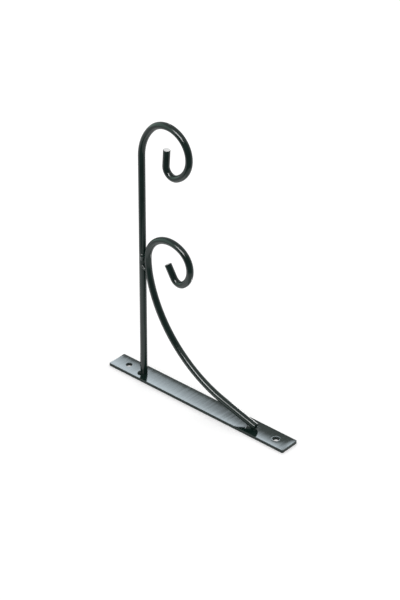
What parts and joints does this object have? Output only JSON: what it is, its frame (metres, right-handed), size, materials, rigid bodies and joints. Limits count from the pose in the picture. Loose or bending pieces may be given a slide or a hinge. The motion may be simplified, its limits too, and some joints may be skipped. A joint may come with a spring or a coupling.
{
  "type": "wall bracket for hanging plant pots",
  "caption": "Welded steel wall bracket for hanging plant pots: a flat-bar wall plate, a straight round arm and a curved brace, both ending in scroll hooks.",
  "frame": {"origin": "centre of the wall plate's back face, midway between the two screw holes", "axes": "+Z along the arm, away from the wall in use; X along the wall plate, with the arm's end at -X, which is the upper end in use, and the brace's foot towards +X; Y across the plate. The bracket stands on the back of its wall plate, as in the picture."},
  "size_m": [0.205, 0.02, 0.2673],
  "materials": {
    "plate_paint": "gloss dark green enamel over flat bar",
    "rod_paint": "gloss dark green enamel over round bar",
    "weld_paint": "gloss dark green enamel over weld beads"
  },
  "bodies": {
    "root": {"wall_plate": "plate_paint", "arm_rod": "rod_paint", "brace_rod": "rod_paint", "arm_foot_weld": "weld_paint", "brace_foot_weld_front": "weld_paint", "brace_foot_weld_back": "weld_paint", "scroll_tack_upper": "weld_paint", "scroll_tack_lower": "weld_paint"}
  },
  "joints": []
}
